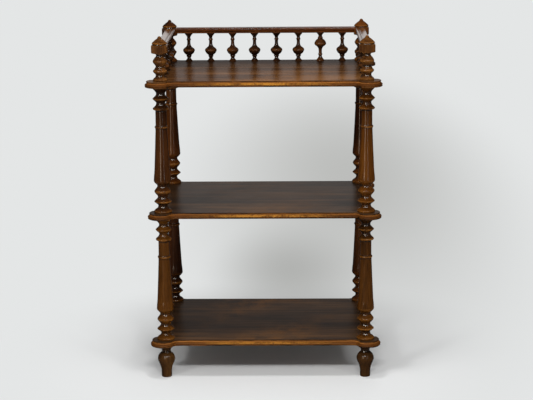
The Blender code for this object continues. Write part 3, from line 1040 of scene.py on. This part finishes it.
def walnut(name, grain, tones, **changes):
    """One walnut finish: the plain one with its changes. The grain runs along the axis named."""
    values = {**PLAIN, **changes}
    material = bpy.data.materials.new(name)
    material.use_nodes = True
    tree = material.node_tree
    tree.nodes.clear()
    place = add_node(tree, "ShaderNodeTexCoord", {}).outputs["Object"]
    vectors = []
    for stretch in (FIGURE_STRETCH, FIBRE_STRETCH):
        mapping = add_node(tree, "ShaderNodeMapping", {
            "Vector": place,
            "Scale": [stretch if axis == grain else 1.0 for axis in "XYZ"],
            "Rotation": GRAIN_TURNS[grain],
            "Location": Vector(HEART_LINE) + Vector((values["offset"], 0.0, 0.0)),
        })
        vectors.append(mapping.outputs["Vector"])
    dark, middle, light = tones
    figure = use_group(tree, GROUPS["figure"], {
        "Figure Vector": vectors[0], "Fibre Vector": vectors[1],
        "Dark": paint(*dark), "Middle": paint(*middle), "Light": paint(*light),
        "Line Strength": values["line_strength"], "Streak Strength": values["streaks"],
    })
    crest = add_node(tree, "ShaderNodeAttribute", {}, attribute_name="crest").outputs["Fac"]
    worn_and_shaded = use_group(tree, GROUPS["wear_dirt_and_shade"], {
        "Vector": place, "Color": figure["Color"], "Crest": crest,
        "Worn Color": paint(*values["worn"]), "Dirt And Shade Color": paint(*DIRT_AND_SHADE_COLOUR),
        "Wear": values["wear"], "Dirt And Shade": values["dirt_and_shade"], "Rear Shade": values["unwiped"],
    })
    varnish = use_group(tree, GROUPS["varnish"], {
        "Vector": place, "Fibre": figure["Fibre"], "Pores": figure["Pores"],
        "Worn": worn_and_shaded["Worn"], "Dirt And Shade": worn_and_shaded["Dirt And Shade"],
        "Dullness": values["dullness"], "Unevenness": values["unevenness"],
        "Film": values["coat"], "Pooled": values["pooled"],
    })
    # Varnish that has not pooled is an even coat, set on the shader itself
    coat = varnish["Coat"] if values["pooled"] else values["coat"]
    relief = add_node(tree, "ShaderNodeBump", {
        "Height": varnish["Height"], "Strength": RELIEF_STRENGTH, "Distance": RELIEF_DEPTH,
    })
    surface = add_node(tree, "ShaderNodeBsdfPrincipled", {
        "Base Color": worn_and_shaded["Color"], "Roughness": varnish["Roughness"],
        "Coat Weight": coat, "Coat Roughness": COAT_ROUGHNESS,
        "Specular IOR Level": values["gloss"], "Normal": relief.outputs["Normal"],
    })
    add_node(tree, "ShaderNodeOutputMaterial", {"Surface": surface.outputs["BSDF"]})
    return material


FINISHES = {
    "foot": walnut("foot_walnut_varnish", "Z", FOOT_TONES, **OILED),
    "front_column": walnut("front_column_walnut_varnish", "Z", TURNED_TONES, offset=3.1, **OILED),
    "left_column": walnut("left_column_walnut_varnish", "Z", RED_TONES, offset=9.3, **OILED),
    "right_column": walnut("right_column_walnut_varnish", "Z", YELLOW_TONES, offset=12.1, **OILED),
    # The back columns' finish is darker: painted shade
    "back_column": walnut("back_column_walnut_painted_shade", "Z", SHADED_TONES, offset=3.1, **OILED),
    "front_gallery_post": walnut("front_gallery_post_walnut_varnish", "Z", GALLERY_TONES,
                                 offset=5.7, **OILED),
    # The back gallery posts' finish is darker: painted shade
    "back_gallery_post": walnut("back_gallery_post_walnut_painted_shade", "Z", SHADED_TONES,
                                offset=5.7, **OILED),
    "spindle": walnut("spindle_walnut_varnish", "Z", SPINDLE_TONES,
                      worn=DARK_BROWN, offset=7.9, **OILED),
    # On the shelf edge the round is golden, partly wear and partly painted highlight, and its
    # recesses dark, partly dirt and partly painted shade
    "shelf_edge": walnut("shelf_edge_walnut_varnish", "X", EDGE_TONES,
                         worn=GOLDEN_WEAR_AND_HIGHLIGHT, wear=1.7, **MATT),
    "shelf_bead": walnut("shelf_bead_walnut_varnish", "X", BEAD_TONES, **MATT),
    "shelf_under": walnut("shelf_under_walnut_stain", "X", TOP_TONES, **STAINED),
    "back_rail": walnut("back_rail_walnut_varnish", "X", RAIL_TONES, gloss=0.08, coat=0.1),
    "left_rail": walnut("left_rail_walnut_varnish", "Y", SIDE_RAIL_TONES, **POLISHED),
    "right_rail": walnut("right_rail_walnut_varnish", "Y", SIDE_RAIL_TONES, offset=1.3, **POLISHED),
    # The top shelf darkens towards its back: painted shade
    "top_shelf": walnut("top_shelf_walnut_varnish", "X", TOP_TONES,
                        gloss=0.004, dullness=0.2, unwiped=1.0, **WAXED),
    "middle_shelf": walnut("middle_shelf_walnut_varnish", "X", LOWER_TONES,
                           gloss=0.035, dullness=0.33, wear=0.3, offset=2.2, **WAXED),
    "bottom_shelf": walnut("bottom_shelf_walnut_varnish", "X", LOWER_TONES,
                           gloss=0.03, dullness=0.38, offset=4.4, **WAXED),
}

moulded_shelves()
turned_feet()
turned_columns()
turned_gallery_posts()
turned_spindles()
moulded_rails()


# Studio: floor, light and camera

FLOOR_WIDTH = 60.0
FLOOR_COLOUR = paint(224, 225, 225)
FLOOR_IN_VARNISH = paint(80, 80, 80)
FLOOR_ROUGHNESS = 0.9
FLOOR_GLOSS = 0.1

# The backdrop takes over from the floor between these distances from the table
FLOOR_FADE = (0.2, 0.8)
BACKDROP_COLOUR = paint(228, 230, 230)

# Soft shades on the backdrop: centre, scale, colour
SHADES = [
    ((0.32, 2.4, 0.0), (1.1, 0.28, 1.0), paint(188, 189, 187)),
    ((0.07, 0.9, 0.0), (3.0, 1.2, 1.0), paint(178, 179, 177)),
]

# Light of the air from the side and from above, then what varnish mirrors of it
AIR_LEVEL = (0.33, 0.33, 0.33, 1.0)
AIR_OVERHEAD = (0.31, 0.31, 0.31, 1.0)
AIR_BEFORE = (0.03, 0.03, 0.03, 1.0)
AIR_BEHIND = (0.8, 0.8, 0.8, 1.0)
AIR_ABOVE = (0.08, 0.08, 0.08, 1.0)
BACKDROP_TOP = (0.16, 0.42)
BACKDROP_SIDE = (0.1, 0.2)

# Azimuth and elevation in degrees, distance, width, height, radiance
LIGHTS = {
    "left_strip_light": (-23.0, 10.0, 2.6, 0.22, 1.8, 26.0),
    "right_strip_light": (23.0, 4.0, 2.6, 0.08, 1.0, 18.0),
    "left_soft_box": (-35.0, 31.0, 3.5, 0.4, 0.4, 56.0),
    "right_soft_box": (38.0, 31.0, 3.5, 0.5, 0.5, 22.0),
    "front_soft_box": (2.0, 34.0, 3.5, 0.9, 0.25, 76.0),
    "back_soft_box": (172.0, 52.0, 3.5, 1.2, 0.8, 6.0),
    "overhead_soft_box": (-10.0, 71.0, 1.54, 0.28, 0.28, 44.0),
}
# The light that varnish does not mirror, and the warm one that only varnish shows
DULL_LIGHT = "overhead_soft_box"
SHEEN_LIGHT = "left_strip_light"
SHEEN_COLOUR = (1.0, 0.82, 0.62)

CAMERA_LENS = 108.67
CAMERA_PLACE = (0.076, -4.392, 1.476)
CAMERA_TURN = math.radians(0.96)
CAMERA_DIP = math.radians(13.10)
CAMERA_ROLL = math.radians(-0.45)


def studio_floor():
    """A wide pale floor that keeps the table's shadow, and is the backdrop further off."""
    clear_bench()
    bpy.ops.mesh.primitive_plane_add(size=FLOOR_WIDTH)
    floor = bpy.context.object
    floor.name = "studio_floor"
    material = bpy.data.materials.new("studio_floor_paper")
    material.use_nodes = True
    tree = material.node_tree
    tree.nodes.clear()
    paper = add_node(tree, "ShaderNodeBsdfPrincipled", {
        "Roughness": FLOOR_ROUGHNESS, "Specular IOR Level": FLOOR_GLOSS,
    })
    place = add_node(tree, "ShaderNodeTexCoord", {}).outputs["Object"]
    away = step_up(tree, length_of(tree, place), *FLOOR_FADE)
    rays = add_node(tree, "ShaderNodeLightPath", {}).outputs
    far = maths(tree, "MULTIPLY", away, rays["Is Camera Ray"])
    tone = blend(tree, rays["Is Glossy Ray"], FLOOR_COLOUR, FLOOR_IN_VARNISH)
    tree.links.new(tone, paper.inputs["Base Color"])
    backdrop = BACKDROP_COLOUR
    for centre, scale, colour in SHADES:
        spread = add_node(tree, "ShaderNodeMapping", {
            "Vector": place,
            "Location": [-spot * size for spot, size in zip(centre, scale)],
            "Scale": scale,
        })
        reach = step_up(tree, length_of(tree, spread.outputs["Vector"]), 0.0, 1.0)
        backdrop = blend(tree, reach, colour, backdrop)
    glow = add_node(tree, "ShaderNodeEmission", {"Color": backdrop}).outputs["Emission"]
    surface = add_node(tree, "ShaderNodeMixShader", {0: far, 1: paper.outputs["BSDF"], 2: glow})
    add_node(tree, "ShaderNodeOutputMaterial", {"Surface": surface.outputs["Shader"]})
    floor.data.materials.append(material)


def studio_air():
    """Pale light from all round. Varnish mirrors a backdrop behind the table, and a dim room."""
    world = bpy.data.worlds.new("studio_air")
    bpy.context.scene.world = world
    world.use_nodes = True
    tree = world.node_tree
    tree.nodes.clear()
    way = add_node(tree, "ShaderNodeTexCoord", {}).outputs["Generated"]
    way = add_node(tree, "ShaderNodeSeparateXYZ", {"Vector": way}).outputs
    level = blend(tree, step_up(tree, way["Z"], *BACKDROP_TOP), AIR_BEHIND, AIR_ABOVE)
    aside = maths(tree, "ABSOLUTE", maths(tree, "DIVIDE", way["X"], way["Y"]))
    before = maths(tree, "LESS_THAN", way["Y"], 0.0)
    beside = maths(tree, "MAXIMUM", step_up(tree, aside, *BACKDROP_SIDE), before)
    mirrored = blend(tree, beside, level, AIR_BEFORE)
    rays = add_node(tree, "ShaderNodeLightPath", {}).outputs
    light = blend(tree, step_up(tree, way["Z"], 0.0, 1.0), AIR_LEVEL, AIR_OVERHEAD)
    colour = blend(tree, rays["Is Glossy Ray"], light, mirrored)
    colour = blend(tree, rays["Is Camera Ray"], colour, BACKDROP_COLOUR)
    air = add_node(tree, "ShaderNodeBackground", {"Color": colour, "Strength": 1.0})
    add_node(tree, "ShaderNodeOutputWorld", {"Surface": air.outputs["Background"]})


def soft_light(name, azimuth, elevation, distance, width, height, radiance):
    """A soft light on the middle of the table. Azimuth 0 is in front and grows to the right."""
    data = bpy.data.lights.new(name, "AREA")
    data.shape = "RECTANGLE"
    data.size = width
    data.size_y = height
    data.energy = radiance * math.pi * width * height
    light = bpy.data.objects.new(name, data)
    bpy.context.scene.collection.objects.link(light)
    round_about, up = math.radians(azimuth), math.radians(elevation)
    level = math.cos(up)
    back = Vector((math.sin(round_about) * level, -math.cos(round_about) * level, math.sin(up)))
    light.location = (cad_low + cad_high) / 2 + back * distance
    light.rotation_euler = (-back).to_track_quat("-Z", "Y").to_euler()
    light.visible_glossy = name != DULL_LIGHT
    light.visible_diffuse = name != SHEEN_LIGHT
    if name == SHEEN_LIGHT:
        data.color = SHEEN_COLOUR


def studio_camera():
    """A camera with a long lens, in front of the table and above its top shelf."""
    data = bpy.data.cameras.new("studio_camera")
    data.lens = CAMERA_LENS
    data.clip_end = FLOOR_WIDTH
    camera = bpy.data.objects.new("studio_camera", data)
    bpy.context.scene.collection.objects.link(camera)
    turn = Matrix.Rotation(CAMERA_TURN, 4, "Z")
    tilt = Matrix.Rotation(math.pi / 2 - CAMERA_DIP, 4, "X")
    roll = Matrix.Rotation(CAMERA_ROLL, 4, "Z")
    camera.matrix_world = Matrix.Translation(CAMERA_PLACE) @ turn @ tilt @ roll
    bpy.context.scene.camera = camera


studio_floor()
studio_air()
for name, values in LIGHTS.items():
    soft_light(name, *values)
studio_camera()
bpy.context.scene.view_settings.view_transform = "Standard"
